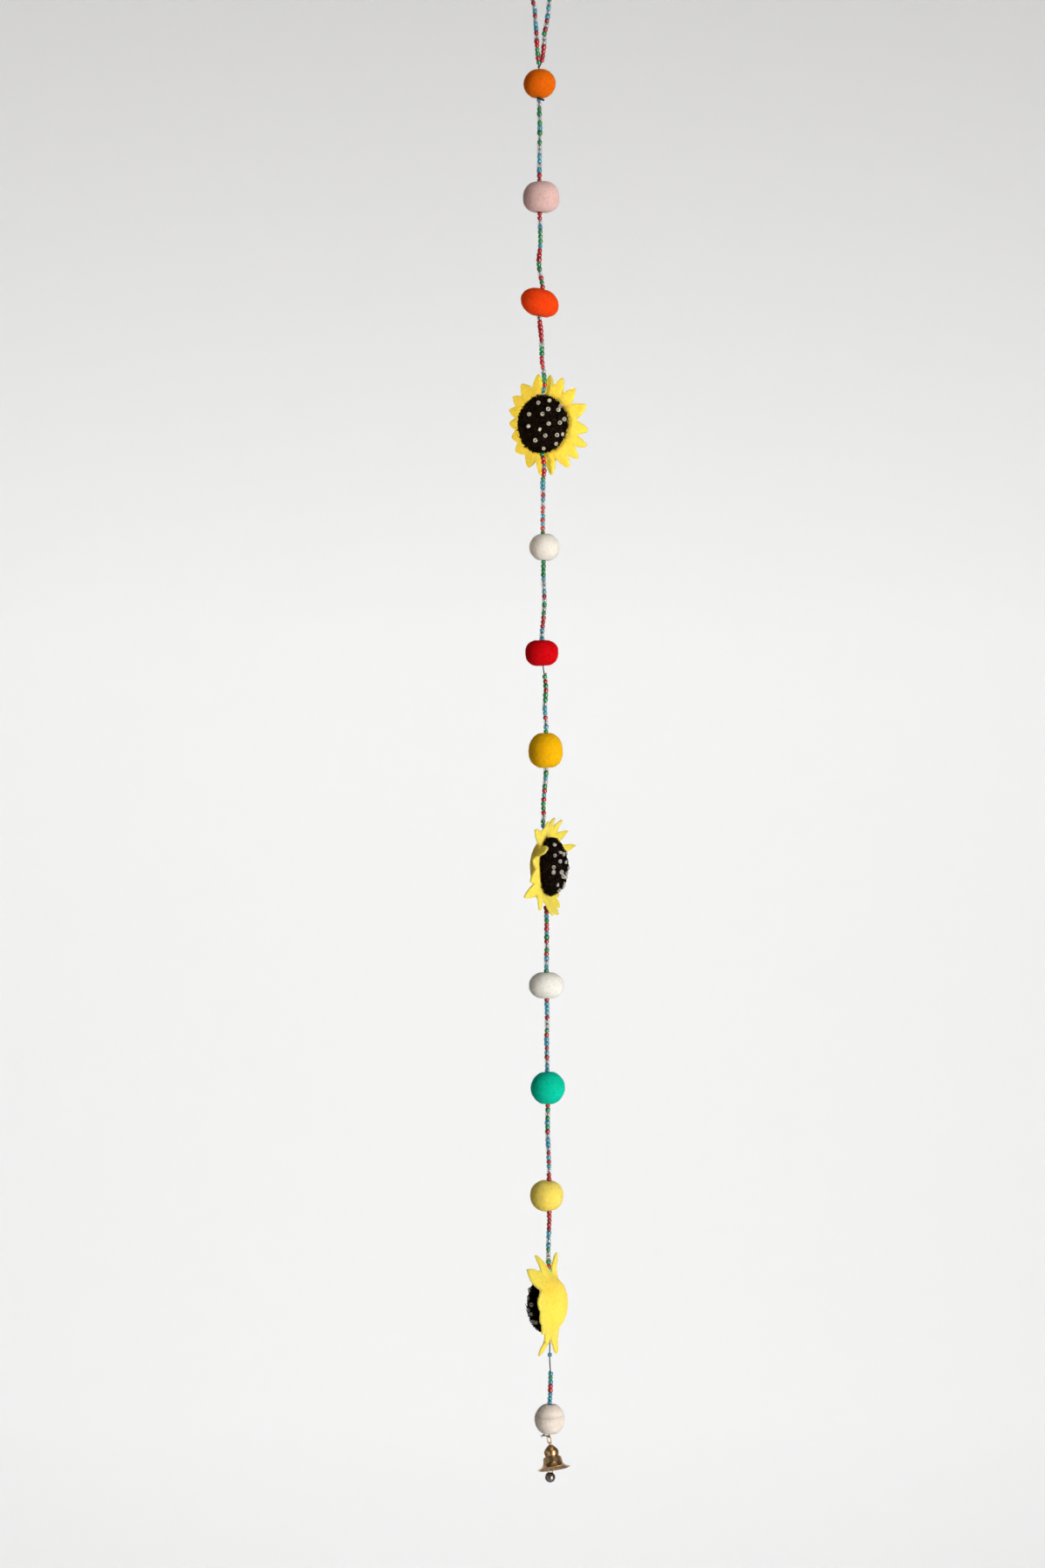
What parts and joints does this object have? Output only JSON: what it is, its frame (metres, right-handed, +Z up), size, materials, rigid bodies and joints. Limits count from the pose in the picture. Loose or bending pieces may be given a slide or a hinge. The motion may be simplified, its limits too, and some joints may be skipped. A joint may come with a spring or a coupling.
{
  "type": "felt ball garland",
  "caption": "Hanging string decoration with felt balls, felt sunflowers and glass seed beads on a looped thread, ending in a small swinging brass bell.",
  "frame": {"origin": "inside top of the hanging loop, where a hook or nail carries it", "axes": "+Z up along the hanging string, +X to the right seen from the front, +Y away from the viewer"},
  "size_m": [0.0529, 0.0626, 1.0113],
  "materials": {
    "ball_orange": "needled wool felt, fuzzy",
    "ball_pink": "needled wool felt, fuzzy",
    "ball_vermilion": "needled wool felt, fuzzy",
    "ball_cream": "needled wool felt, fuzzy",
    "ball_red": "needled wool felt, fuzzy",
    "ball_mustard": "needled wool felt, fuzzy",
    "ball_white": "needled wool felt, fuzzy",
    "ball_teal": "needled wool felt, fuzzy",
    "ball_lemon": "needled wool felt, fuzzy",
    "ball_greige": "needled wool felt, fuzzy",
    "yellow_felt": "cut wool felt, fuzzy",
    "black_felt": "looped black wool felt",
    "thread": "dark waxed thread",
    "glass_beads": "glossy glass seed beads in red, green, aqua and clear",
    "brass": "polished, slightly tarnished",
    "steel": "dark bare metal"
  },
  "bodies": {
    "garland": {"thread": "thread", "beads_loop_left": "glass_beads", "beads_loop_top": "glass_beads", "beads_loop_right": "glass_beads", "beads_01": "glass_beads", "beads_02": "glass_beads", "beads_03": "glass_beads", "beads_04": "glass_beads", "beads_05": "glass_beads", "beads_06": "glass_beads", "beads_07": "glass_beads", "beads_08": "glass_beads", "beads_09": "glass_beads", "beads_10": "glass_beads", "beads_11": "glass_beads", "beads_12": "glass_beads", "beads_13": "glass_beads", "ball_orange": "ball_orange", "ball_pink": "ball_pink", "ball_vermilion": "ball_vermilion", "ball_cream": "ball_cream", "ball_red": "ball_red", "ball_mustard": "ball_mustard", "ball_white": "ball_white", "ball_teal": "ball_teal", "ball_lemon": "ball_lemon", "ball_greige": "ball_greige", "sunflower_1_petals": "yellow_felt", "sunflower_1_centre": "black_felt", "sunflower_2_petals": "yellow_felt", "sunflower_2_centre": "black_felt", "sunflower_3_petals": "yellow_felt", "sunflower_3_centre": "black_felt"},
    "link": {"bell_link": "brass"},
    "bell": {"bell": "brass"},
    "clapper": {"clapper": "steel"}
  },
  "joints": [
    {"name": "link_swing", "type": "hinge", "parent": "garland", "child": "link", "pos_m": [0.0051, 0, -0.9792], "axis": [0, 1, 0], "range_deg": [-45, 45]},
    {"name": "bell_swing", "type": "hinge", "parent": "link", "child": "bell", "pos_m": [0.00586, 0, -0.98308], "axis": [0.9882, 0, 0.153], "range_deg": [-40, 40]},
    {"name": "clapper_swing", "type": "hinge", "parent": "bell", "child": "clapper", "pos_m": [0.00662, -0.00143, -0.98801], "axis": [0.0422, 0.9613, -0.2724], "range_deg": [-30, 10]}
  ]
}
